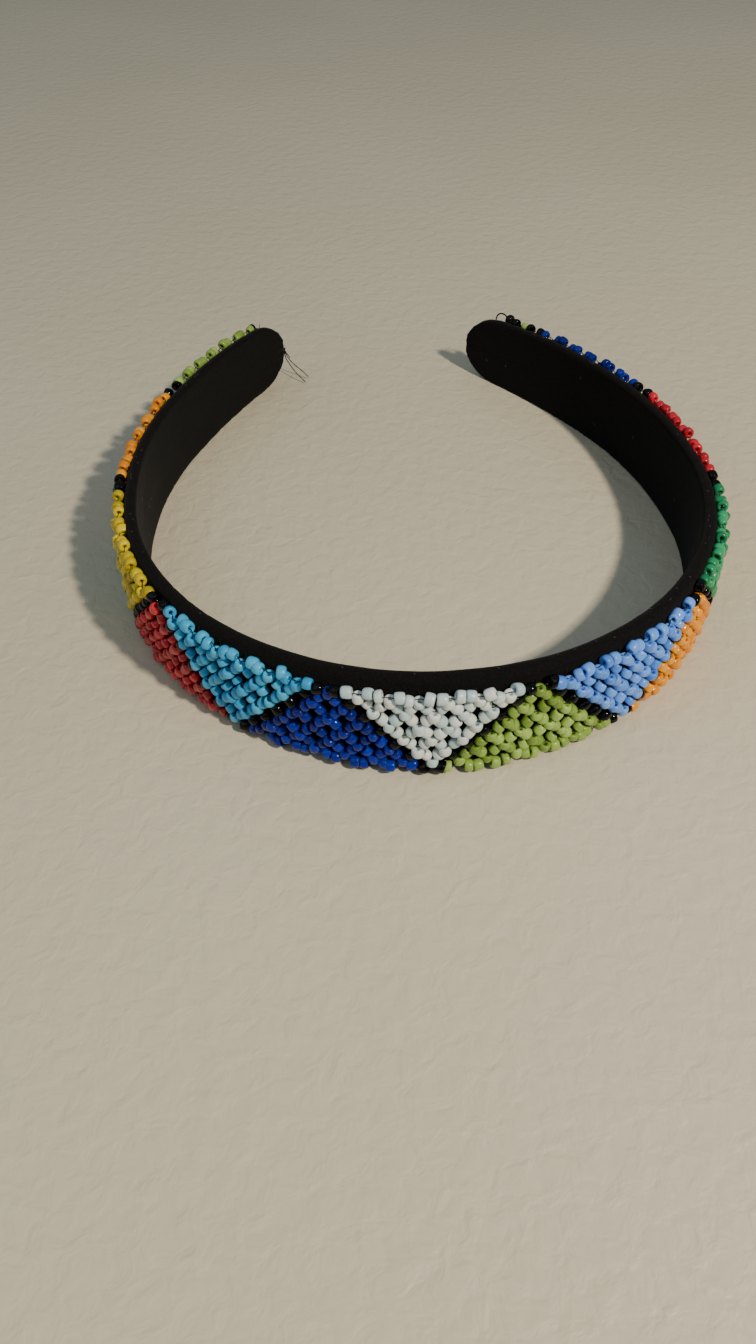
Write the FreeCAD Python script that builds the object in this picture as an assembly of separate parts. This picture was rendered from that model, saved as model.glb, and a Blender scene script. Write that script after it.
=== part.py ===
"""A beaded hair band, lying on its side edge: +Z up, crown towards -Y, tips towards +Y, millimetres.

A springy plastic hoop carries a thin wadding strip and a black fabric sleeve. Over the outer face
lies a net of glass seed beads: six rows of upright knot beads, one link bead on every diagonal
between two rows, and pairs of edge beads along both rims. The net shows a row of upright
and inverted triangles, each in one colour, divided by diagonals of black link beads.

Places are given along the band as s (distance from the crown, positive to the right), n (distance
outwards from the seat curve, which runs through the edge beads) and z (height).
"""
import FreeCAD, Part
import math
import os
from FreeCAD import Vector

# Seat curve in plan: arcs tangent to each other, the same on both sides, with unequal end arcs.
CROWN_RADIUS = 66.6
CROWN_HALF_ARC = 101.7
SIDE_RADIUS = 97.2
SIDE_ARC = 50.1
END_RADIUS = 186.6
LEFT_END_ARC = 52.0
RIGHT_END_ARC = 45.8
LEFT_TIP = -(CROWN_HALF_ARC + SIDE_ARC + LEFT_END_ARC)
RIGHT_TIP = CROWN_HALF_ARC + SIDE_ARC + RIGHT_END_ARC

# Band: height at the crown, fall of the upper rim towards the tips, and depth from the seat curve
CROWN_HEIGHT = 23.4
RIM_SLOPE = 0.0245
TIP_DROP = 2.1
TIP_DROP_LENGTH = 38.0
INNER_DEPTH = 4.6
DEPTH_TAPER = 0.00125
OUTER_DEPTH = 1.4
DOME = 0.7
CORNER_SHARE = 0.34
TIP_HEIGHT_RADIUS = 11.0
TIP_THICKNESS_RADIUS = 1.7
REST_CUT = 0.3
TIP_STATIONS = (0.15, 0.6, 1.7, 3.6, 6.0, 8.5, 11.0, 14.0)
SPANS_BETWEEN_TIPS = 27
TABLE_SPAN = 400

# Layers
FABRIC = 0.5
LAYER_GAP = 0.05
HOOP_THICKNESS = 1.5
HOOP_TAPER = 0.003
HOOP_EDGE_MARGIN = 1.6
HOOP_END_MARGIN = 2.5
WADDING_GAP = 0.15
WADDING_EDGE_MARGIN = 0.9
WADDING_END_MARGIN = 3.0
SEAM_HEIGHT = 9.5
SEAM_GAP = 0.3
SEAM_CUT = 0.6
SEAM_END_MARGIN = 12.0

# Bead net
MESH_PITCH = 5.882
FIRST_KNOT = -194.0
MESHES = 64
ROWS = 6
REPEAT = 7
DRIFT = 1.9
DRIFT_MIDDLE = 34
DRIFT_LENGTH = 70
CROWN_PULL = 2.8
PULL_MIDDLE = 35
PULL_REACH = 4.5
UPPER_EDGE_IN_CROWN = 2.5
UPPER_EDGE_IN_ARM = 0.4
FIRST_ROW_IN_CROWN = 3.6
FIRST_ROW_IN_ARM = 2.3
NARROWING_SPAN = 170
LOWER_EDGE_IN = 2.1
LAST_ROW_IN = 3.4
BEAD_RADIUS = 1.18
BEAD_LENGTH = 1.7
BEAD_CORNER = 0.55
BORE_RADIUS = 0.38
KNOT_PROUD = 0.42
EDGE_PROUD = -0.1
PULLED_EDGE_PROUD = 0.85
PULLED_MIDDLE = -7
PULLED_SPAN = 50
EDGE_BEAD_SCALE = 1.05
PAIR_GAP = 0.05
RIGHT_END_BEADS = ((0.33, -0.4, -0.1), (0.66, 0.2, -0.2))

# Threads
THREAD_RADIUS = 0.1
THREAD_CLEARANCE = 0.02
ROD_TRIM = 0.06
LOOP_THREAD_RADIUS = 0.16
TUBE_REACH = 0.45
STITCH_FROM_EDGE = 0.9
STITCH_TO = 2.0
STITCH_DEPTH = 0.22
STITCH_LEAN = 0.1
KNOT_RADIUS = 0.55
KNOT_PAST_TIP = 0.56
KNOT_DEPTH = -2.4
KNOT_HEIGHT = 7.9
KNOT_GAP = 0.02

# Routes of the loose thread ends: the tails from the knot's centre, the loop as (s, n, z)
LEFT_TAILS = {
    "left_long_tail": (
        (0.1, -0.5, -2.3), (1.0, -1.75, -3.4), (2.0, -3.4, -4.6), (3.4, -5.0, -5.9), (5.3, -6.6, -7.3)),
    "left_middle_tail": (
        (0.5, -0.1, -2.0), (1.5, -1.2, -3.1), (2.9, -2.3, -4.3), (4.8, -3.2, -5.6), (6.3, -4.4, -6.9)),
    "left_short_tail": ((0.5, -0.7, -0.8), (1.0, -1.3, -1.3), (1.45, -1.9, -1.9)),
}
RIGHT_LOOP = (
    (184.9, 0.3, 19.6), (185.6, 0.0, 20.6), (186.6, -0.8, 20.9), (187.8, -1.9, 20.4), (188.7, -2.9, 19.3))

COLOURS = ("lime", "orange", "yellow", "sky", "white", "periwinkle", "green", "red", "cobalt")
LOWER_SHIFT = 4

UP = Vector(0, 0, 1)


def seat(s):
    """Point of the seat curve at s, and the outward direction there."""
    x, y, heading, left = 0.0, 0.0, 0.0, abs(s)
    for radius, length in (
        (CROWN_RADIUS, CROWN_HALF_ARC),
        (SIDE_RADIUS, SIDE_ARC),
        (END_RADIUS, LEFT_END_ARC + 1),
    ):
        turn = min(left, length) / radius
        x += radius * (math.sin(heading + turn) - math.sin(heading))
        y += radius * (math.cos(heading) - math.cos(heading + turn))
        heading += turn
        left -= min(left, length)
    side = math.copysign(1, s)
    return Vector(side * x, y, 0), Vector(side * math.sin(heading), -math.cos(heading), 0)


def at(s, n, z):
    """The point s along the band, n outwards and z up."""
    point, outward = seat(s)
    return point + outward * n + UP * z


def rim(s):
    """Height of the upper rim at s: it falls slowly along the arms and faster near the tips."""
    distance = min(s - LEFT_TIP, RIGHT_TIP - s)
    near_tip = max(0.0, 1 - distance / TIP_DROP_LENGTH)
    return CROWN_HEIGHT - RIM_SLOPE * seat(s)[0].y - TIP_DROP * near_tip * near_tip


def inner_face(s):
    """Where the sleeve's inner face lies, as n."""
    return -INNER_DEPTH * (1 - DEPTH_TAPER * abs(s))


def outer_face(s, z):
    """Where the sleeve's domed outer face lies at height z, as n."""
    share = 2 * z / rim(s) - 1
    return -OUTER_DEPTH + DOME * (1 - share * share)


# ---------------------------------------------------------------- the three layers


def tip_share(distance, radius):
    """How much of its full size a rounded end has left at this distance from its tip."""
    if distance >= radius:
        return 1.0
    return math.sqrt(1 - (1 - distance / radius) ** 2)


def stations(left, right):
    """Places of the cross sections: close together at the rounded tips, even between them."""
    first, last = left + TIP_STATIONS[-1], right - TIP_STATIONS[-1]
    span = (last - first) / SPANS_BETWEEN_TIPS
    middle = [first + span * i for i in range(1, SPANS_BETWEEN_TIPS)]
    return [left + d for d in TIP_STATIONS] + middle + [right - d for d in reversed(TIP_STATIONS)]


def section(s, inner, outer, low, high, dome):
    """Closed outline across the band: flat edges, rounded corners and a domed outer face."""
    r = CORNER_SHARE * min(outer - inner, high - low)
    k = r * (1 - math.sqrt(0.5))
    middle = (low + high) / 2

    def line(a, b):
        return Part.LineSegment(at(s, *a), at(s, *b)).toShape()

    def arc(a, b, c):
        return Part.Arc(at(s, *a), at(s, *b), at(s, *c)).toShape()

    outer_side = line((outer, low + r), (outer, high - r))
    if dome:
        outer_side = arc((outer, low + r), (outer + dome, middle), (outer, high - r))
    return Part.Wire([
        line((inner + r, low), (outer - r, low)),
        arc((outer - r, low), (outer - k, low + k), (outer, low + r)),
        outer_side,
        arc((outer, high - r), (outer - k, high - k), (outer - r, high)),
        line((outer - r, high), (inner + r, high)),
        arc((inner + r, high), (inner + k, high - k), (inner, high - r)),
        line((inner, high - r), (inner, low + r)),
        arc((inner, low + r), (inner + k, low + k), (inner + r, low)),
    ])


def strip(limits, left, right, dome=0.0):
    """A long strip with rounded tips; limits(s) gives its inner and outer n and its low and high z."""
    wires = []
    for s in stations(left, right):
        inner, outer, low, high = limits(s)
        distance = min(s - left, right - s)
        thick = tip_share(distance, TIP_THICKNESS_RADIUS)
        tall = tip_share(distance, TIP_HEIGHT_RADIUS)
        n, half_n = (inner + outer) / 2, (outer - inner) / 2 * thick
        z, half_z = (low + high) / 2, (high - low) / 2 * tall
        wires.append(section(s, n - half_n, n + half_n, z - half_z, z + half_z, dome * thick * tall))
    return Part.makeLoft(wires, True, False)


def band_slab(inner, outer, low, high, left, right):
    """A plate that follows the seat curve between two n, two heights and two s."""
    breaks = [-(CROWN_HALF_ARC + SIDE_ARC), -CROWN_HALF_ARC, CROWN_HALF_ARC, CROWN_HALF_ARC + SIDE_ARC]
    stops = [left] + breaks + [right]
    edges = []
    for n, ends in ((outer, list(zip(stops, stops[1:]))), (inner, list(zip(stops, stops[1:])))):
        for a, b in ends:
            edges.append(Part.Arc(at(a, n, low), at((a + b) / 2, n, low), at(b, n, low)).toShape())
    for s in (left, right):
        edges.append(Part.LineSegment(at(s, inner, low), at(s, outer, low)).toShape())
    outline = Part.Wire(Part.sortEdges(edges)[0])
    return Part.Face(outline).extrude(UP * (high - low))


def fabric_sleeve():
    """The sleeve: a closed tube of fabric whose long edges meet in a seam hidden under the beads."""
    def outside(s):
        return inner_face(s), -OUTER_DEPTH, -REST_CUT, rim(s)

    def inside(s):
        return inner_face(s) + FABRIC, -OUTER_DEPTH - FABRIC, FABRIC, rim(s) - FABRIC

    body = strip(outside, LEFT_TIP, RIGHT_TIP, DOME)
    corner = Vector(-TABLE_SPAN / 2, -TABLE_SPAN / 2, 0)
    above_table = Part.makeBox(TABLE_SPAN, TABLE_SPAN, 2 * CROWN_HEIGHT, corner)
    body = body.common(above_table)
    body = body.cut(strip(inside, LEFT_TIP + 2 * FABRIC, RIGHT_TIP - 2 * FABRIC, DOME))
    seam = band_slab(-OUTER_DEPTH - SEAM_CUT, DOME, SEAM_HEIGHT, SEAM_HEIGHT + SEAM_GAP,
                     LEFT_TIP + SEAM_END_MARGIN, RIGHT_TIP - SEAM_END_MARGIN)
    return body.cut(seam)


def hoop_limits(s):
    """Cross section of the plastic hoop, which thins a little with the band."""
    inner = inner_face(s) + FABRIC + LAYER_GAP
    thickness = HOOP_THICKNESS * (1 - HOOP_TAPER * abs(s))
    return inner, inner + thickness, HOOP_EDGE_MARGIN, rim(s) - HOOP_EDGE_MARGIN


def plastic_hoop():
    """The springy hoop that gives the band its shape."""
    return strip(hoop_limits, LEFT_TIP + HOOP_END_MARGIN, RIGHT_TIP - HOOP_END_MARGIN)


def wadding_strip():
    """Soft strip between the hoop and the outer face of the sleeve."""
    def limits(s):
        inner, outer = hoop_limits(s)[1] + LAYER_GAP, -OUTER_DEPTH - FABRIC - WADDING_GAP
        return inner, outer, WADDING_EDGE_MARGIN, rim(s) - WADDING_EDGE_MARGIN

    return strip(limits, LEFT_TIP + WADDING_END_MARGIN, RIGHT_TIP - WADDING_END_MARGIN, DOME)


# ---------------------------------------------------------------- the bead net


def bead_prototype():
    """One seed bead round +X: a short cylinder with rounded shoulders and its bore through it."""
    start = Vector(-BEAD_LENGTH / 2, 0, 0)
    bead = Part.makeCylinder(BEAD_RADIUS, BEAD_LENGTH, start, Vector(1, 0, 0))
    shoulders = [edge for edge in bead.Edges if isinstance(edge.Curve, Part.Circle)]
    bead = bead.makeFillet(BEAD_CORNER, shoulders)
    return bead.cut(Part.makeCylinder(BORE_RADIUS, BEAD_LENGTH, start, Vector(1, 0, 0)))


def placed(shape, centre, axis):
    """A copy of a shape made round +X, turned to the axis and moved to the centre."""
    place = FreeCAD.Placement(centre, FreeCAD.Rotation(Vector(1, 0, 0), axis))
    return shape.transformed(place.toMatrix(), True)


def blend(at_middle, away, distance, span):
    """A value that changes smoothly with the distance from a place, until it is a span away."""
    share = (1 + math.cos(math.pi * min(1.0, abs(distance) / span))) / 2
    return away + (at_middle - away) * share


def upper_edge(s):
    """Height of the upper edge row: the net keeps its width while the band narrows, so it nears the rim."""
    return rim(s) - blend(UPPER_EDGE_IN_CROWN, UPPER_EDGE_IN_ARM, s, NARROWING_SPAN)


def edge_proud(s):
    """How far the edge beads stand off the sleeve: they ride up where the net is pulled together."""
    return blend(PULLED_EDGE_PROUD, EDGE_PROUD, s - PULLED_MIDDLE, PULLED_SPAN)


def row_height(s, row):
    """Height of knot row 1 (upper) to 6 (lower)."""
    upper = rim(s) - blend(FIRST_ROW_IN_CROWN, FIRST_ROW_IN_ARM, s, NARROWING_SPAN)
    return upper + (LAST_ROW_IN - upper) * (row - 1) / (ROWS - 1)


def along(u):
    """Distance s of a place u meshes from the first knot, with the net's drift and its pull at the crown."""
    drift = DRIFT * math.cos(2 * math.pi * (u - DRIFT_MIDDLE) / DRIFT_LENGTH)
    pull = CROWN_PULL * math.exp(-((u - PULL_MIDDLE) / PULL_REACH) ** 2)
    return FIRST_KNOT + MESH_PITCH * u + drift - pull


def net_point(s, z, proud=0.0):
    """Centre of a bead that lies on the sleeve at s and height z."""
    return at(s, outer_face(s, z) + BEAD_RADIUS + LAYER_GAP + proud, z)


def triangle(row, u):
    """Which triangle a knot bead belongs to: its kind and number."""
    marker = round(u / REPEAT)
    if abs(u - REPEAT * marker) <= (row - 1) / 2:
        return "lower", marker
    return "upper", int(u // REPEAT)


def group_name(kind, number):
    """Name of the group of beads that makes one triangle."""
    shift = LOWER_SHIFT if kind == "lower" else 0
    return "%s_triangle_%02d_%s" % (kind, number + 1, COLOURS[(number + shift) % len(COLOURS)])


def divider_name(number):
    """Name of the group of black beads round one lower triangle."""
    return "black_dividers_%02d" % (number + 1)


def knot_places(row):
    """Mesh positions of the knot beads of one row; even rows sit half a mesh further on."""
    offset = ((row - 1) % 2) / 2
    return [i + offset for i in range(MESHES + 1) if i + offset <= MESHES]


def knot_mouth(row, u, side):
    """Where the thread leaves a knot bead's bore, above (+1) or below (-1) it."""
    s = along(u)
    reach = BEAD_LENGTH / 2 + THREAD_RADIUS + THREAD_CLEARANCE
    return net_point(s, row_height(s, row) + side * reach, KNOT_PROUD)


def link_place(row, u, v):
    """Centre of the link bead between knot u of a row and knot v of the next row, and its direction."""
    upper = net_point(along(u), row_height(along(u), row))
    lower = net_point(along(v), row_height(along(v), row + 1))
    centre = net_point(along((u + v) / 2), (upper.z + lower.z) / 2)
    return centre, (lower - upper).normalize()


def tangent(s):
    """Direction along the band at s."""
    outward = seat(s)[1]
    return UP.cross(outward)


def bead_net():
    """Every bead as (group, centre, axis, scale), and every thread span as (group, start, end)."""
    beads, spans = [], []
    for row in range(1, ROWS + 1):
        for u in knot_places(row):
            s = along(u)
            group = group_name(*triangle(row, u))
            if u in (0, MESHES):
                group = "black_end_beads"
            beads.append((group, net_point(s, row_height(s, row), KNOT_PROUD), UP, 1.0))
    for row in range(1, ROWS):
        for u in knot_places(row):
            for side in (-1, 1):
                v = u + side / 2
                if not 0 <= v <= MESHES:
                    continue
                centre, axis = link_place(row, u, v)
                reach = axis * (BEAD_LENGTH / 2)
                pair = {triangle(row, u), triangle(row + 1, v)}
                group = group_name(*min(pair)) if len(pair) == 1 else divider_name(min(pair)[1])
                beads.append((group, centre, axis, 1.0))
                start, end = knot_mouth(row, u, -1), knot_mouth(row + 1, v, 1)
                spans.append(("net_thread_row_%d" % row, start, centre - reach, centre + reach, end))
    for edge, row, past in (("upper", 1, 1), ("lower", ROWS, -1)):
        places = knot_places(row)
        for u, v in zip(places, places[1:]):
            mouths = []
            for side, knot in ((-1, u), (1, v)):
                s = along((u + v) / 2) + side * (EDGE_BEAD_SCALE * BEAD_LENGTH + PAIR_GAP) / 2
                z = upper_edge(s) if edge == "upper" else LOWER_EDGE_IN
                kind, number = triangle(row, knot)
                group = group_name(kind, number) if kind == edge else divider_name(number)
                centre = net_point(s, z, edge_proud(s))
                beads.append((group, centre, tangent(s), EDGE_BEAD_SCALE))
                mouths.append(centre + tangent(s) * (side * EDGE_BEAD_SCALE * BEAD_LENGTH / 2))
            start, end = knot_mouth(row, u, past), knot_mouth(row, v, past)
            spans.append(("%s_edge_thread" % edge, start, *mouths, end))
    for past_last, above_rim, proud in RIGHT_END_BEADS:
        s = along(MESHES + past_last)
        centre = net_point(s, rim(s) + above_rim, proud)
        beads.append(("black_end_beads", centre, tangent(s), EDGE_BEAD_SCALE))
    return beads, spans


def rod(start, end):
    """A straight piece of thread."""
    return Part.makeCylinder(THREAD_RADIUS, (end - start).Length, start, end - start)


def thread_span(points):
    """Straight pieces of thread from point to point, each just clear of the next."""
    pieces = []
    for start, end in zip(points, points[1:]):
        trim = (end - start).normalize() * ROD_TRIM
        pieces.append(rod(start + trim, end - trim))
    return pieces


def anchor_stitches(edge):
    """Short stitches that hold the net's edge to the sleeve, one by each knot bead of the edge row."""
    stitches = []
    for u in knot_places(1 if edge == "upper" else ROWS):
        s = along(u)
        heights = (STITCH_FROM_EDGE, STITCH_TO)
        if edge == "upper":
            heights = (rim(s) - STITCH_TO, rim(s) - STITCH_FROM_EDGE)
        n = -OUTER_DEPTH + STITCH_DEPTH
        stitches.append(rod(at(s, n + STITCH_LEAN, heights[0]), at(s, n, heights[1])))
    return stitches


# ---------------------------------------------------------------- thread ends


def smooth_tube(points, radius):
    """A tube along straight runs joined by tangent arcs."""
    edges, last = [], points[0]
    for before, corner, after in zip(points, points[1:], points[2:]):
        back, ahead = before - corner, after - corner
        reach = TUBE_REACH * min(back.Length, ahead.Length)
        back.normalize()
        ahead.normalize()
        start, end = corner + back * reach, corner + ahead * reach
        half_turn = (math.pi - back.getAngle(ahead)) / 2
        to_middle = reach / math.tan(half_turn) * (1 / math.cos(half_turn) - 1)
        middle = corner + (back + ahead).normalize() * to_middle
        edges.append(Part.LineSegment(last, start).toShape())
        edges.append(Part.Arc(start, middle, end).toShape())
        last = end
    edges.append(Part.LineSegment(last, points[-1]).toShape())
    circle = Part.Circle(points[0], points[1] - points[0], radius).toShape()
    return Part.Wire(edges).makePipeShell([Part.Wire(circle)], True, False)


def thread_ends():
    """The knot and tails at the left tip, and the loose loop over the rim at the right tip."""
    knot = at(LEFT_TIP - KNOT_PAST_TIP, KNOT_DEPTH, KNOT_HEIGHT)
    ends = {"left_knot": Part.makeSphere(KNOT_RADIUS, knot)}
    for name, steps in LEFT_TAILS.items():
        start = knot + Vector(*steps[0]).normalize() * (KNOT_RADIUS + KNOT_GAP)
        ends[name] = smooth_tube([start] + [knot + Vector(*step) for step in steps], THREAD_RADIUS)
    ends["right_thread_loop"] = smooth_tube([at(*place) for place in RIGHT_LOOP], LOOP_THREAD_RADIUS)
    return ends


def main():
    os.makedirs("parts", exist_ok=True)
    nodes = {
        "fabric_sleeve": [fabric_sleeve()],
        "plastic_hoop": [plastic_hoop()],
        "wadding_strip": [wadding_strip()],
    }
    prototype = {1.0: bead_prototype()}
    prototype[EDGE_BEAD_SCALE] = prototype[1.0].scaled(EDGE_BEAD_SCALE)
    beads, spans = bead_net()
    for group, centre, axis, size in beads:
        nodes.setdefault(group, []).append(placed(prototype[size], centre, axis))
    for group, *points in spans:
        nodes.setdefault(group, []).extend(thread_span(points))
    for edge in ("upper", "lower"):
        nodes["%s_anchor_stitches" % edge] = anchor_stitches(edge)
    for name, solid in thread_ends().items():
        nodes[name] = [solid]

    box = FreeCAD.BoundBox()
    for solids in nodes.values():
        for solid in solids:
            box.add(solid.BoundBox)
    origin = Vector(-(box.XMin + box.XMax) / 2, -(box.YMin + box.YMax) / 2, 0)
    print("box", box.XLength, box.YLength, box.ZMin, box.ZMax, "beads", len(beads))
    for name, solids in nodes.items():
        moved = [solid.translated(origin) for solid in solids]
        shape = moved[0] if len(moved) == 1 else Part.makeCompound(moved)
        shape.exportStep("parts/%s.step" % name)


main()
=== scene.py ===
"""The looks of the beaded hair band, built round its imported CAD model. Blender units are metres."""
import math
import random

import bpy
import numpy as np
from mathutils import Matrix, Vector, noise


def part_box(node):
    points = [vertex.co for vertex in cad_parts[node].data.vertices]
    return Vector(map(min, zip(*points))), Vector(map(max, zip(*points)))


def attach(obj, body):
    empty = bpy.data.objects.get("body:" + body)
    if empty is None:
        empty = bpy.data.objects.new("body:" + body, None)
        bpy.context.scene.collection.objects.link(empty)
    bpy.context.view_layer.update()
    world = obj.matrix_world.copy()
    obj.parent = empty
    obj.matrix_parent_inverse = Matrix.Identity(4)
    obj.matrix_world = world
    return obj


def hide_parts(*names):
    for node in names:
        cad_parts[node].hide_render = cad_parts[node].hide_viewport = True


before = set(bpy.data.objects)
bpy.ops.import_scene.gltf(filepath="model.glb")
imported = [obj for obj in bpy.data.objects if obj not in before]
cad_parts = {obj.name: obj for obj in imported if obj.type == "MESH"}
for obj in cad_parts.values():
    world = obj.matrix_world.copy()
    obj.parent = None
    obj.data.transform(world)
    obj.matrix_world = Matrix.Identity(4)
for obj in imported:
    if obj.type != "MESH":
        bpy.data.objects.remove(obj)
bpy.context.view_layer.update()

MM = 0.001
UP = Vector((0, 0, 1))

# Seat curve of the beads in plan, in millimetres: tangent arcs, as in the CAD model.
ARCS = ((66.6, 101.7), (97.2, 50.1), (186.6, 60.0))
LEFT_TIP, RIGHT_TIP = -203.8, 197.6
HOOP_FACE = 2.55
CROWN_HEIGHT, RIM_SLOPE, TIP_DROP, TIP_DROP_LENGTH = 23.4, 0.0245, 2.1, 38.0
TIP_HEIGHT_RADIUS, TIP_THICKNESS_RADIUS = 11.0, 1.7
INNER_DEPTH, DEPTH_TAPER, OUTER_DEPTH, DOME = 4.6, 0.00125, 1.4, 0.7
HOOP_THICKNESS, HOOP_TAPER = 1.5, 0.003

# The net: knots MESH_PITCH apart, with a slow drift and a pull at the crown, as in the CAD model.
MESH_PITCH, FIRST_KNOT, MESHES = 5.882, -194.0, 64
DRIFT, DRIFT_MIDDLE, DRIFT_LENGTH = 1.9, 34, 70
CROWN_PULL, PULL_MIDDLE, PULL_REACH = 2.8, 35, 4.5
UPPER_EDGE_IN_CROWN, UPPER_EDGE_IN_ARM, NARROWING_SPAN = 2.5, 0.4, 170
LOWER_EDGE = 2.1

hoop_low, hoop_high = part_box("plastic_hoop")
CROWN = Vector(((hoop_low.x + hoop_high.x) / 2, hoop_low.y - HOOP_FACE * MM, 0))


def seat(s):
    """Plan point of the seat curve in metres, and the outward direction, s millimetres from the crown."""
    x, y, heading, left = 0.0, 0.0, 0.0, abs(s)
    for radius, length in ARCS:
        turn = min(left, length) / radius
        x += radius * (math.sin(heading + turn) - math.sin(heading))
        y += radius * (math.cos(heading) - math.cos(heading + turn))
        heading += turn
        left -= min(left, length)
    side = math.copysign(1, s)
    return CROWN + Vector((side * x, y, 0)) * MM, Vector((side * math.sin(heading), -math.cos(heading), 0))


def at(s, n, z):
    """The point s along the band, n outwards and z up, all in millimetres."""
    point, outward = seat(s)
    return point + outward * (n * MM) + UP * (z * MM)


def rim(s):
    """Height of the upper rim in millimetres."""
    near_tip = max(0.0, 1 - min(s - LEFT_TIP, RIGHT_TIP - s) / TIP_DROP_LENGTH)
    return CROWN_HEIGHT - RIM_SLOPE * (seat(s)[0].y - CROWN.y) / MM - TIP_DROP * near_tip * near_tip


def upper_edge(s):
    """Height of the upper row of edge beads in millimetres."""
    share = (1 + math.cos(math.pi * min(1.0, abs(s) / NARROWING_SPAN))) / 2
    return rim(s) - UPPER_EDGE_IN_ARM - (UPPER_EDGE_IN_CROWN - UPPER_EDGE_IN_ARM) * share


def along(u):
    """Distance s of a place u meshes from the first knot."""
    drift = DRIFT * math.cos(2 * math.pi * (u - DRIFT_MIDDLE) / DRIFT_LENGTH)
    pull = CROWN_PULL * math.exp(-((u - PULL_MIDDLE) / PULL_REACH) ** 2)
    return FIRST_KNOT + MESH_PITCH * u + drift - pull


# ---------------------------------------------------------------- camera

CAMERA_FROM_CROWN = Vector((-0.03658, -0.12346, 0.15747))
CAMERA_HEADING = math.radians(8.2)
CAMERA_PITCH = math.radians(45.8)
LENS, SENSOR = 27.74, 36


def add_camera():
    """The camera in front of the crown, looking down at the band."""
    data = bpy.data.cameras.new("camera")
    data.lens, data.sensor_width = LENS, SENSOR
    camera = bpy.data.objects.new("camera", data)
    bpy.context.scene.collection.objects.link(camera)
    camera.location = CROWN + CAMERA_FROM_CROWN
    camera.rotation_euler = (math.pi / 2 - CAMERA_PITCH, 0, -CAMERA_HEADING)
    bpy.context.scene.camera = camera


add_camera()

# ---------------------------------------------------------------- materials


def srgb(r, g, b):
    """Linear colour of an sRGB colour given as 0 to 255."""
    parts = (c / 255 for c in (r, g, b))
    return tuple(((c + 0.055) / 1.055) ** 2.4 if c > 0.0404 else c / 12.92 for c in parts) + (1.0,)


class Shader:
    """A material with a Principled surface and short ways to add and join nodes."""

    def __init__(self, name, **values):
        self.material = bpy.data.materials.new(name)
        self.material.use_nodes = True
        self.nodes = self.material.node_tree.nodes
        self.links = self.material.node_tree.links
        self.surface = self.nodes["Principled BSDF"]
        for socket, value in values.items():
            self.surface.inputs[socket.replace("_", " ")].default_value = value

    def add(self, kind, **settings):
        """A new node with its input values and properties."""
        node = self.nodes.new("ShaderNode" + kind)
        for key, value in settings.items():
            if key in node.inputs:
                node.inputs[key].default_value = value
            else:
                setattr(node, key, value)
        return node

    def join(self, output, target):
        """Link an output to an input."""
        self.links.new(output, target)

    def ramp(self, fac, *stops):
        """The colour of a ramp with the given (place, colour) stops."""
        node = self.add("ValToRGB")
        while len(node.color_ramp.elements) < len(stops):
            node.color_ramp.elements.new(0.5)
        for element, (place, colour) in zip(node.color_ramp.elements, stops):
            element.position, element.color = place, colour
        self.join(fac, node.inputs["Fac"])
        return node.outputs["Color"]

    def bump(self, height, distance, strength, below=None):
        """A bumped normal, laid over the one below."""
        node = self.add("Bump", Strength=strength, Distance=distance)
        self.join(height, node.inputs["Height"])
        if below:
            self.join(below, node.inputs["Normal"])
        return node.outputs["Normal"]


def bead_glass(name, dark, light, roughness=0.25, subsurface=0.12, specular=0.35, coat=0.35):
    """Opaque pressed glass: each bead has its own tone, with faint streaks and a slightly uneven gloss."""
    m = Shader(name, Coat_Weight=coat, Coat_Roughness=0.05, IOR=1.5, Specular_IOR_Level=specular,
               Subsurface_Weight=subsurface, Subsurface_Scale=0.0006)
    tone = m.add("Attribute", attribute_name="tone")
    place = m.add("TexCoord")
    streak = m.add("TexNoise", Scale=900.0, Detail=3.0, Roughness=0.6)
    m.join(place.outputs["Object"], streak.inputs["Vector"])
    mixed = m.add("Math", operation="MULTIPLY_ADD")
    mixed.inputs[1].default_value = 0.25
    m.join(streak.outputs["Fac"], mixed.inputs[0])
    m.join(tone.outputs["Fac"], mixed.inputs[2])
    m.join(m.ramp(mixed.outputs[0], (0.05, dark), (1.1, light)), m.surface.inputs["Base Color"])
    gloss = m.add("MapRange")
    gloss.inputs["To Min"].default_value = roughness - 0.08
    gloss.inputs["To Max"].default_value = roughness + 0.12
    m.join(streak.outputs["Fac"], gloss.inputs["Value"])
    m.join(gloss.outputs["Result"], m.surface.inputs["Roughness"])
    lumps = m.add("TexNoise", Scale=1400.0, Detail=2.0)
    m.join(place.outputs["Object"], lumps.inputs["Vector"])
    m.join(m.bump(lumps.outputs["Fac"], 0.00006, 0.6), m.surface.inputs["Normal"])
    return m.material


BEADS = {
    "lime": bead_glass("lime_glass", srgb(98, 130, 30), srgb(156, 188, 92)),
    "orange": bead_glass("orange_glass", srgb(212, 122, 0), srgb(240, 160, 0)),
    "yellow": bead_glass("yellow_glass", srgb(168, 146, 0), srgb(224, 198, 4)),
    "sky": bead_glass("sky_glass", srgb(26, 142, 200), srgb(66, 178, 224)),
    "white": bead_glass("white_glass", srgb(172, 200, 208), srgb(220, 226, 224)),
    "periwinkle": bead_glass("periwinkle_glass", srgb(72, 130, 222), srgb(108, 162, 248)),
    "green": bead_glass("green_glass", srgb(14, 112, 68), srgb(48, 156, 104)),
    "red": bead_glass("red_glass", srgb(158, 8, 30), srgb(206, 30, 50)),
    "cobalt": bead_glass("cobalt_glass", srgb(0, 15, 100), srgb(0, 36, 156), roughness=0.12, subsurface=0.0,
                         specular=0.14, coat=0.35),
    "black": bead_glass("black_glass", srgb(2, 2, 3), srgb(7, 7, 9), roughness=0.12, subsurface=0.0,
                        specular=0.06, coat=0.35),
}


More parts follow.
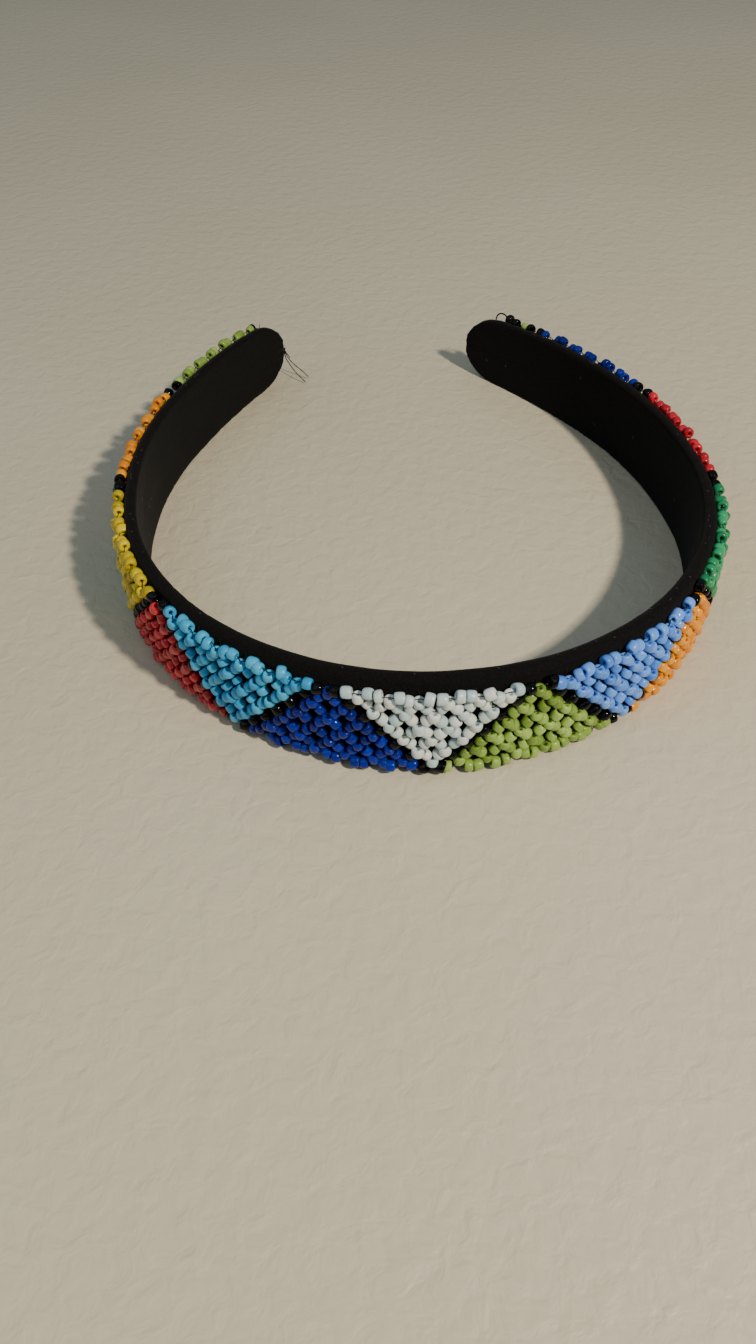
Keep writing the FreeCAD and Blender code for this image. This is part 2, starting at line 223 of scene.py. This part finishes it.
def fabric(name, dark, light, thread_pitch, sheen):
    """Woven cloth: two crossing sets of threads from the piece's own surface coordinates, with loose fuzz."""
    m = Shader(name, Roughness=0.95, Sheen_Weight=sheen, Sheen_Roughness=0.5, Specular_IOR_Level=0.06)
    uv = m.add("UVMap")
    heights = []
    for direction in ("X", "Y"):
        wave = m.add("TexWave", bands_direction=direction, Scale=0.314 / thread_pitch, Distortion=0.6)
        wave.inputs["Detail Scale"].default_value = 2.0
        m.join(uv.outputs["UV"], wave.inputs["Vector"])
        heights.append(wave.outputs["Fac"])
    weave = m.add("Math", operation="MAXIMUM")
    m.join(heights[0], weave.inputs[0])
    m.join(heights[1], weave.inputs[1])
    fuzz = m.add("TexNoise", Scale=2200.0, Detail=4.0, Roughness=0.7)
    place = m.add("TexCoord")
    m.join(place.outputs["Object"], fuzz.inputs["Vector"])
    m.join(m.ramp(fuzz.outputs["Fac"], (0.3, dark), (0.75, light)), m.surface.inputs["Base Color"])
    coarse = m.bump(weave.outputs[0], 0.00008, 0.7)
    m.join(m.bump(fuzz.outputs["Fac"], 0.00015, 0.5, coarse), m.surface.inputs["Normal"])
    return m.material


def nylon(name, colour, transmission):
    """Thin single-strand thread, clear or dyed, with tiny nicks."""
    m = Shader(name, Roughness=0.3, Transmission_Weight=transmission, IOR=1.45, Specular_IOR_Level=0.2,
               Coat_Weight=0.06)
    place = m.add("TexCoord")
    nicks = m.add("TexNoise", Scale=3000.0, Detail=2.0)
    m.join(place.outputs["Object"], nicks.inputs["Vector"])
    faded = tuple(min(1.0, c * 1.5) for c in colour[:3]) + (1.0,)
    m.join(m.ramp(nicks.outputs["Fac"], (0.35, colour), (0.7, faded)), m.surface.inputs["Base Color"])
    m.join(m.bump(nicks.outputs["Fac"], 0.00002, 0.5), m.surface.inputs["Normal"])
    return m.material


def plastic(name, dark, light):
    """Moulded plastic with faint flow marks."""
    m = Shader(name, Roughness=0.42, Coat_Weight=0.1)
    place = m.add("TexCoord")
    flow = m.add("TexNoise", Scale=120.0, Detail=4.0)
    m.join(place.outputs["Object"], flow.inputs["Vector"])
    m.join(m.ramp(flow.outputs["Fac"], (0.3, dark), (0.7, light)), m.surface.inputs["Base Color"])
    m.join(m.bump(flow.outputs["Fac"], 0.0001, 0.4), m.surface.inputs["Normal"])
    return m.material


def painted_table():
    """Pale satin paint with an orange-peel surface and a few faint scratches."""
    m = Shader("painted_table", Roughness=0.46, Specular_IOR_Level=0.4)
    place = m.add("TexCoord")
    peel = m.add("TexNoise", Scale=260.0, Detail=3.0, Roughness=0.5, Distortion=0.5)
    broad = m.add("TexNoise", Scale=6.0, Detail=2.0)
    scratch = m.add("TexVoronoi", Scale=9.0, feature="DISTANCE_TO_EDGE")
    for node in (peel, broad, scratch):
        m.join(place.outputs["Object"], node.inputs["Vector"])
    m.join(m.ramp(broad.outputs["Fac"], (0.3, srgb(202, 192, 168)), (0.7, srgb(209, 200, 178))),
           m.surface.inputs["Base Color"])
    line = m.ramp(scratch.outputs["Distance"], (0.0, (0, 0, 0, 1)), (0.004, (1, 1, 1, 1)))
    m.join(m.bump(peel.outputs["Fac"], 0.001, 0.5, m.bump(line, 0.00008, 0.25)), m.surface.inputs["Normal"])
    return m.material


BLACK_CLOTH = fabric("black_cloth", srgb(8, 8, 8), srgb(25, 24, 24), 0.42, sheen=0.04)
FIBRE = fabric("wadding_fibre", srgb(198, 197, 190), srgb(236, 235, 230), 0.9, sheen=0.1)
CLEAR_NYLON = nylon("clear_nylon", srgb(30, 31, 30), transmission=0.1)
BLACK_NYLON = nylon("black_nylon", srgb(14, 13, 13), transmission=0.0)
LINT = nylon("lint_fibre", srgb(96, 95, 91), transmission=0.0)
HOOP_PLASTIC = plastic("hoop_plastic_surface", srgb(26, 26, 28), srgb(40, 40, 42))


def add_piece(name, vertices, faces, material, slot, *replaced):
    """A smooth mesh piece on the band, standing for the CAD nodes it replaces."""
    mesh = bpy.data.meshes.new(name)
    mesh.from_pydata([tuple(v) for v in vertices], [], [tuple(int(i) for i in f) for f in faces])
    mesh.update()
    mesh.shade_smooth()
    mesh.materials.append(material)
    piece = bpy.data.objects.new(name, mesh)
    bpy.context.scene.collection.objects.link(piece)
    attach(piece, "root")
    if replaced:
        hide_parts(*replaced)
    return piece


# ---------------------------------------------------------------- beads

WELD = 1e-6
AROUND, PROFILE = 18, 14

# How the beads differ from the CAD ones: middle, spread, lowest and highest factor of length and radius,
# then ranges. A bead in an edge row lies flatter than LEVEL, and is looser.
LENGTH_FACTOR, RADIUS_FACTOR = (1.06, 0.1, 0.82, 1.3), (1.02, 0.05, 0.9, 1.1)
BORE_SHARE, END_FLATNESS, OVAL, SLANT = (0.2, 0.29), (0.55, 0.9), (0.0, 0.05), (0.0, 0.16)
SIDE_FLATNESS = 0.72
LEVEL = 0.3
EDGE_TILT, NET_TILT = 0.2, 0.11
EDGE_LOOSENESS, NET_LOOSENESS = 0.00022, 0.0001


def solids_of(node):
    """The vertices of each separate solid of a CAD node."""
    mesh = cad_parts[node].data
    places = np.array([v.co for v in mesh.vertices])
    welded = np.unique(np.round(places / WELD), axis=0, return_inverse=True)[1].reshape(-1)
    edges = welded[np.array([e.vertices for e in mesh.edges])]
    label = np.arange(welded.max() + 1)
    while True:
        lowest = np.minimum(label[edges[:, 0]], label[edges[:, 1]])
        spread = label.copy()
        np.minimum.at(spread, edges[:, 0], lowest)
        np.minimum.at(spread, edges[:, 1], lowest)
        if (spread == label).all():
            break
        label = spread
    owner = label[welded]
    return [places[owner == k] for k in np.unique(owner)]


def bead_place(points):
    """Centre, axis, half length and radius of one CAD bead."""
    middle = points.mean(0)
    sizes, directions = np.linalg.eigh(np.cov((points - middle).T))
    axis = directions[:, 0] if sizes[1] - sizes[0] > sizes[2] - sizes[1] else directions[:, 2]
    reach = (points - middle) @ directions
    centre = middle + directions @ ((reach.max(0) + reach.min(0)) / 2)
    lengthwise = (points - centre) @ axis
    radial = np.linalg.norm(points - centre - np.outer(lengthwise, axis), axis=1)
    return Vector(centre), Vector(axis), np.abs(lengthwise).max(), radial.max()


def clipped(dice, middle, spread, low, high):
    """A normal random draw that is kept between low and high."""
    return min(high, max(low, dice.gauss(middle, spread)))


def bead_mesh(centre, axis, half, radius, dice):
    """Vertices of one slightly uneven bead: a rounded ring with its bore, a closed surface."""
    on_edge = abs(axis.z) < LEVEL
    half *= clipped(dice, *LENGTH_FACTOR)
    radius *= clipped(dice, *RADIUS_FACTOR)
    bore = radius * dice.uniform(*BORE_SHARE)
    flatness = dice.uniform(*END_FLATNESS)
    oval, oval_turn = dice.uniform(*OVAL), dice.uniform(0, math.pi)
    slant, slant_turn = dice.uniform(*SLANT), dice.uniform(0, 2 * math.pi)
    tilt = EDGE_TILT if on_edge else NET_TILT
    axis = (axis + Vector([dice.gauss(0, tilt) for _ in range(3)])).normalized()
    side = axis.orthogonal().normalized()
    other = axis.cross(side)
    looseness = EDGE_LOOSENESS if on_edge else NET_LOOSENESS
    centre = centre + Vector([dice.gauss(0, looseness) for _ in range(3)])
    ring_middle, ring_half = (radius + bore) / 2, (radius - bore) / 2
    vertices = []
    for i in range(AROUND):
        turn = 2 * math.pi * i / AROUND
        out = side * math.cos(turn) + other * math.sin(turn)
        stretch = 1 + oval * math.cos(2 * (turn - oval_turn))
        lean = slant * math.cos(turn - slant_turn)
        for k in range(PROFILE):
            angle = 2 * math.pi * (k + 0.5) / PROFILE
            c, s = math.cos(angle), math.sin(angle)
            x = half * math.copysign(abs(c) ** flatness, c)
            r = ring_middle + ring_half * math.copysign(abs(s) ** SIDE_FLATNESS, s)
            vertices.append(centre + out * (r * stretch) + axis * (x + lean * r))
    return vertices


def ring_faces(first, around, profile):
    """Faces of a closed ring of `around` profiles, each a closed loop of `profile` vertices."""
    faces = []
    for i in range(around):
        for k in range(profile):
            a, b = i * profile + k, i * profile + (k + 1) % profile
            c = ((i + 1) % around) * profile + (k + 1) % profile
            d = ((i + 1) % around) * profile + k
            faces.append((first + a, first + b, first + c, first + d))
    return faces


def bead_group(node, colour):
    """All beads of one CAD node as one piece of the same shape and place, each bead a little different."""
    dice = random.Random(node)
    vertices, faces, tones = [], [], []
    for points in solids_of(node):
        centre, axis, half, radius = bead_place(points)
        faces += ring_faces(len(vertices), AROUND, PROFILE)
        vertices += bead_mesh(centre, axis, half, radius, dice)
        tones += [dice.random()] * (AROUND * PROFILE)
    piece = add_piece(node + "_beads", vertices, faces, BEADS[colour], colour + "_bead", node)
    tone = piece.data.attributes.new("tone", "FLOAT", "POINT")
    tone.data.foreach_set("value", tones)


def add_beads():
    """One piece for the beads of each CAD bead node."""
    for node in sorted(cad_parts):
        if "_triangle_" in node:
            bead_group(node, node.split("_")[-1])
        elif node.startswith("black_"):
            bead_group(node, "black")


# ---------------------------------------------------------------- sleeve and wadding

# Outward directions of a section's four sides, in and out of the band and up, in the order of its points.
OUTWARD = ((-1, 0), (0, -1), (1, 0), (0, 1))
CORNER_SHARE_OF_DEPTH, CORNER_SHARE_OF_HEIGHT = 0.68, 0.9
STATIONS_FROM_TIP = (0.02, 0.12, 0.3, 0.6, 1.0)

# The cloth's unevenness, in millimetres.
SOFT_LUMP, FINE_LUMP = 0.10, 0.035
STITCH_PULL, STITCH_PULL_REACH, STITCH_PULL_FROM = 0.11, 2.4, -1.2
TIP_FOLD, TIP_FOLD_LENGTH = 0.13, 7
SEAM_DIP, SEAM_HEIGHT, SEAM_WIDTH = 0.22, 9.65, 0.35
CLOTH_THICKNESS = 0.4

WADDING_IN, WADDING_FROM_SIDES, WADDING_FROM_TIP = 0.65, 0.9, 3
HOOP_IN = 0.6


def tip_share(distance, radius):
    """How much of its full size a rounded end has left at this distance from its tip."""
    if distance >= radius:
        return 1.0
    return math.sqrt(max(0.0, 1 - (1 - distance / radius) ** 2))


def band_stations(left, right, step):
    """Places of the cross sections, drawn together towards both rounded tips."""
    count = int((right - left) / step)
    places = [left + (right - left) * (i / count) for i in range(count + 1)]
    first = [left + d for d in STATIONS_FROM_TIP]
    return first + places[1:-1] + [right - d for d in reversed(STATIONS_FROM_TIP)]


def rounded_outline(half_n, half_z, corner, count):
    """Evenly spaced places round a rounded rectangle, each with its outward direction."""
    centre_n, centre_z = half_n - corner, half_z - corner
    bend = math.pi / 2 * corner
    around = 4 * (centre_n + centre_z + bend)
    outline = []
    for i in range(count):
        left = around * i / count
        for k in range(4):
            straight = 2 * (centre_n if k % 2 else centre_z)
            if left < straight + bend or k == 3:
                break
            left -= straight + bend
        (out_n, out_z), (next_n, next_z) = OUTWARD[k], OUTWARD[(k + 1) % 4]
        turn = max(0.0, left - straight) / corner
        run = min(left, straight)
        away_n = out_n * math.cos(turn) + next_n * math.sin(turn)
        away_z = out_z * math.cos(turn) + next_z * math.sin(turn)
        a = (out_n - next_n) * centre_n + next_n * run + away_n * corner
        b = (out_z - next_z) * centre_z + next_z * run + away_z * corner
        outline.append((a, b, away_n, away_z))
    return outline


def band_section(s, limits, left, right, dome, count, crease):
    """One closed cross section, as points going round it, pushed in and out by crease(s, a, b, half_z)."""
    inner, outer, low, high = limits(s)
    distance = min(s - left, right - s)
    thick, tall = tip_share(distance, TIP_THICKNESS_RADIUS), tip_share(distance, TIP_HEIGHT_RADIUS)
    n, half_n = (inner + outer) / 2, (outer - inner) / 2 * thick
    z, half_z = (low + high) / 2, (high - low) / 2 * tall
    corner = min(CORNER_SHARE_OF_DEPTH * half_n, CORNER_SHARE_OF_HEIGHT * half_z)
    points = []
    for a, b, away_n, away_z in rounded_outline(half_n, half_z, corner, count):
        if a > 0:
            a += dome * thick * tall * (1 - (b / half_z) ** 2)
        push = crease(s, a, b, half_z)
        points.append(at(s, n + a + away_n * push, max(0.0, z + b + away_z * push)))
    return points


def band_piece(name, limits, left, right, dome, crease, material, slot, node, step=1.2, count=72):
    """A closed strip along the band, with surface coordinates in metres along and around it."""
    stations = band_stations(left, right, step)
    vertices = []
    for s in stations:
        vertices += band_section(s, limits, left, right, dome, count, crease)
    faces = []
    for i in range(len(stations) - 1):
        for k in range(count):
            a, b = i * count + k, i * count + (k + 1) % count
            faces.append((a, a + count, b + count, b))
    last = (len(stations) - 1) * count
    faces.append(tuple(range(count)))
    faces.append(tuple(range(last + count - 1, last - 1, -1)))
    piece = add_piece(name, vertices, faces, material, slot, node)
    uv = piece.data.uv_layers.new(name="UVMap")
    around = 2 * (CROWN_HEIGHT + INNER_DEPTH)
    for polygon in piece.data.polygons:
        across = [piece.data.loops[l].vertex_index % count for l in polygon.loop_indices]
        wraps = max(across) - min(across) > count / 2 and len(across) == 4
        for l, k in zip(polygon.loop_indices, across):
            station = piece.data.loops[l].vertex_index // count
            turn = (k + count if wraps and k == 0 else k) / count
            uv.data[l].uv = (stations[station] * MM, turn * around * MM)
    return piece


def cloth_crease(s, a, b, half_z):
    """How far the cloth is pushed out: soft lumps, pulls at the stitches, folds at the tips and the seam."""
    soft = noise.noise(Vector((s / 9, a / 3, b / 7))) * SOFT_LUMP
    fine = noise.noise(Vector((s / 2.2, a, b / 2.5 + 7))) * FINE_LUMP
    pull = 0.0
    edge = 1 - min(1.0, abs(half_z - abs(b)) / STITCH_PULL_REACH)
    if a > STITCH_PULL_FROM and edge > 0:
        phase = (s - FIRST_KNOT) / MESH_PITCH * 2 * math.pi
        pull = -STITCH_PULL * edge * max(0.0, math.cos(phase)) ** 3
    end = min(s - LEFT_TIP, RIGHT_TIP - s)
    fold = 0.0
    if end < TIP_FOLD_LENGTH:
        wave = math.sin(b * 2.6 + 3 * noise.noise(Vector((s / 4, 0, b / 4))))
        fold = TIP_FOLD * (1 - end / TIP_FOLD_LENGTH) * wave
    seam = 0.0
    if a > 0:
        seam = -SEAM_DIP * math.exp(-((b + half_z - SEAM_HEIGHT) / SEAM_WIDTH) ** 2)
    return soft + fine + pull + fold + seam


def add_sleeve():
    """The black cloth sleeve round the whole band."""
    def limits(s):
        inner = -INNER_DEPTH * (1 - DEPTH_TAPER * abs(s))
        return inner, -OUTER_DEPTH, -0.12, rim(s)

    sleeve = band_piece("cloth_sleeve", limits, LEFT_TIP, RIGHT_TIP, DOME, cloth_crease,
                        BLACK_CLOTH, "black_fabric", "fabric_sleeve")
    shell = sleeve.modifiers.new("cloth_thickness", "SOLIDIFY")
    shell.thickness = CLOTH_THICKNESS * MM
    shell.offset = -1


def add_wadding():
    """The soft strip between the hoop and the sleeve's outer face."""
    def limits(s):
        inner = -INNER_DEPTH * (1 - DEPTH_TAPER * abs(s)) + HOOP_IN
        hoop = HOOP_THICKNESS * (1 - HOOP_TAPER * abs(s))
        return inner + hoop, -OUTER_DEPTH - WADDING_IN, WADDING_FROM_SIDES, rim(s) - WADDING_FROM_SIDES

    def fluff(s, a, b, half_z):
        return noise.noise(Vector((s / 3, a * 2, b / 3))) * 0.05 - 0.03

    wadding = band_piece("wadding_fill", limits, LEFT_TIP + WADDING_FROM_TIP, RIGHT_TIP - WADDING_FROM_TIP,
                         DOME - 0.1, fluff, FIBRE, "wadding", "wadding_strip", step=2.4, count=48)


# ---------------------------------------------------------------- threads

STITCH_RADIUS, KNOT_RADIUS, TAIL_RADIUS, LOOP_RADIUS = 0.00008, 0.00012, 0.00013, 0.00021
KNOT_STEPS = 40
FIBRES, FIBRE_RADIUS, FIBRE_WAVE, FROM_TIPS = 70, 0.000025, 0.04, 8


def thread_piece(name, routes, radius, material, slot, *replaced):
    """One curve piece with a smooth round strand along each route."""
    curve = bpy.data.curves.new(name, "CURVE")
    curve.dimensions = "3D"
    curve.bevel_depth = radius
    curve.bevel_resolution = 2
    curve.resolution_u = 6
    curve.use_fill_caps = True
    for route in routes:
        spline = curve.splines.new("NURBS")
        spline.points.add(len(route) - 1)
        for point, place in zip(spline.points, route):
            point.co = (*place, 1)
        spline.order_u = 3
        spline.use_endpoint_u = True
    curve.materials.append(material)
    piece = bpy.data.objects.new(name, curve)
    bpy.context.scene.collection.objects.link(piece)
    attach(piece, "root")
    if replaced:
        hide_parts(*replaced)
    return piece


def add_anchor_stitches():
    """Small uneven stitches of clear thread that tie the edge beads to the cloth."""
    dice = random.Random(5)
    for edge, offset in (("upper", 0.0), ("lower", 0.5)):
        routes = []
        for i in range(MESHES + (edge == "upper")):
            s = along(i + offset)
            lean, reach = dice.uniform(-0.5, 0.5), dice.uniform(-0.25, 0.25)
            steps = (
                (0.0, -0.75, -0.9), (0.15, -0.95, -0.4), (0.6, -1.1, 0.2 + reach), (1.0, -1.3, 0.5 + reach))
            route = []
            for share, n, beyond in steps:
                z = upper_edge(s) + beyond if edge == "upper" else LOWER_EDGE - beyond
                route.append(at(s + lean * share, n, z))
            routes.append(route)
        node = edge + "_anchor_stitches"
        thread_piece(node + "_thread", routes, STITCH_RADIUS, CLEAR_NYLON, "nylon_thread", node)


def add_thread_ends():
    """The knot with its three tails at the left tip, and the loose loop over the rim at the right tip."""
    low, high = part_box("left_knot")
    knot, size = (low + high) / 2, (high.x - low.x) / 2
    trefoil = []
    for i in range(KNOT_STEPS + 1):
        t = 2 * math.pi * i / KNOT_STEPS
        x, y = math.sin(t) + 2 * math.sin(2 * t), math.cos(t) - 2 * math.cos(2 * t)
        trefoil.append(knot + Vector((x, -math.sin(3 * t) * 1.2, y)) * (size * 0.24))
    thread_piece("left_knot_thread", [trefoil], KNOT_RADIUS, CLEAR_NYLON, "nylon_thread", "left_knot")
    tails = {
        "left_long_tail": (
            (0.1, -0.5, -2.3), (1.0, -1.75, -3.4), (2.0, -3.4, -4.6), (3.4, -5.0, -5.9), (5.3, -6.6, -7.3)),
        "left_middle_tail": (
            (0.5, -0.1, -2.0), (1.5, -1.2, -3.1), (2.9, -2.3, -4.3), (4.8, -3.2, -5.6), (6.3, -4.4, -6.9)),
        "left_short_tail": ((0.5, -0.7, -0.8), (1.0, -1.3, -1.3), (1.45, -1.9, -1.9)),
    }
    for node, steps in tails.items():
        route = [knot] + [knot + Vector(step) * MM for step in steps]
        thread_piece(node + "_thread", [route], TAIL_RADIUS, CLEAR_NYLON, "nylon_thread", node)
    loop = (
        (185.7, 0.2, 17.6), (185.5, 0.0, 19.0), (186.2, -0.4, 20.2), (187.6, -0.9, 20.4), (188.5, -1.4, 19.4),
        (188.3, -1.8, 17.9))
    route = [at(*place) for place in loop]
    thread_piece("right_loop_thread", [route], LOOP_RADIUS, BLACK_NYLON, "black_thread", "right_thread_loop")


def add_lint():
    """Short loose fibres caught on the rim and the inner face of the cloth."""
    dice = random.Random(11)
    routes = []
    for i in range(FIBRES):
        s = dice.uniform(LEFT_TIP + FROM_TIPS, RIGHT_TIP - FROM_TIPS)
        heading, bend, step = dice.uniform(0, 2 * math.pi), dice.uniform(-1.1, 1.1), dice.uniform(0.12, 0.4)
        lift = dice.uniform(0.05, 0.12)
        inner = -INNER_DEPTH * (1 - DEPTH_TAPER * abs(s))
        across, up = (dice.uniform(-3.4, -2.4), 0) if i % 3 else (0, dice.uniform(4, rim(s) - 4))
        route = []
        for k in range(4):
            if i % 3:
                route.append(at(s, across, rim(s) + lift + FIBRE_WAVE * (k % 2)))
                across += step * 0.5 * math.sin(heading)
            else:
                route.append(at(s, inner - lift - FIBRE_WAVE * (k % 2), up))
                up += step * math.sin(heading)
            s += step * math.cos(heading)
            heading += bend
        routes.append(route)
    thread_piece("cloth_lint", routes, FIBRE_RADIUS, LINT, "black_fabric")


def dress_kept_nodes():
    """Materials for the CAD nodes that stay: the hoop and the threads inside the net."""
    for node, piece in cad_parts.items():
        if node == "plastic_hoop":
            material = HOOP_PLASTIC
        elif node.startswith("net_thread") or node.endswith("edge_thread"):
            material = CLEAR_NYLON
        else:
            continue
        piece.data.materials.clear()
        piece.data.materials.append(material)


# ---------------------------------------------------------------- table and light


TABLE_HALF_SIDE = 3.0
ROOM_SIDE, ROOM_TOP, ROOM_STRENGTH = (0.19, 0.22, 0.25, 1), (0.74, 0.90, 1.0, 1), 0.29


def add_table():
    """A large plain painted table top at the height of the band's base."""
    side = TABLE_HALF_SIDE
    mesh = bpy.data.meshes.new("table_top")
    corners = [(-side, -side, 0), (side, -side, 0), (side, side, 0), (-side, side, 0)]
    mesh.from_pydata(corners, [], [(0, 1, 2, 3)])
    mesh.materials.append(painted_table())
    table = bpy.data.objects.new("table_top", mesh)
    bpy.context.scene.collection.objects.link(table)


def add_light(name, place, size, power, colour):
    """A square area light at a place given from the crown, turned to the middle of the band."""
    data = bpy.data.lights.new(name, "AREA")
    data.size, data.energy, data.color = size, power, colour
    light = bpy.data.objects.new(name, data)
    bpy.context.scene.collection.objects.link(light)
    light.location = CROWN + Vector(place)
    light.rotation_euler = (light.location - Vector((0, 0, 0.01))).to_track_quat("Z", "Y").to_euler()


def add_world():
    """Dim cool room light, brighter from above than from the sides."""
    world = bpy.data.worlds.new("room")
    world.use_nodes = True
    nodes, links = world.node_tree.nodes, world.node_tree.links
    direction = nodes.new("ShaderNodeTexCoord")
    split = nodes.new("ShaderNodeSeparateXYZ")
    ramp = nodes.new("ShaderNodeValToRGB")
    ramp.color_ramp.elements[0].position, ramp.color_ramp.elements[0].color = 0.0, ROOM_SIDE
    ramp.color_ramp.elements[1].position, ramp.color_ramp.elements[1].color = 0.8, ROOM_TOP
    links.new(direction.outputs["Generated"], split.inputs["Vector"])
    links.new(split.outputs["Z"], ramp.inputs["Fac"])
    links.new(ramp.outputs["Color"], nodes["Background"].inputs["Color"])
    nodes["Background"].inputs["Strength"].default_value = ROOM_STRENGTH
    bpy.context.scene.world = world


def add_lights():
    """A small warm lamp, a wide cool fill and the room."""
    add_light("lamp", (0.300, -0.361, 0.548), 0.045, 5.8, (1.0, 0.89, 0.71))
    add_light("room_fill", (-0.75, -0.2, 0.8), 1.2, 2.3, (0.82, 0.93, 1.0))
    add_world()


add_beads()
add_sleeve()
add_wadding()
add_anchor_stitches()
add_thread_ends()
add_lint()
dress_kept_nodes()
add_table()
add_lights()
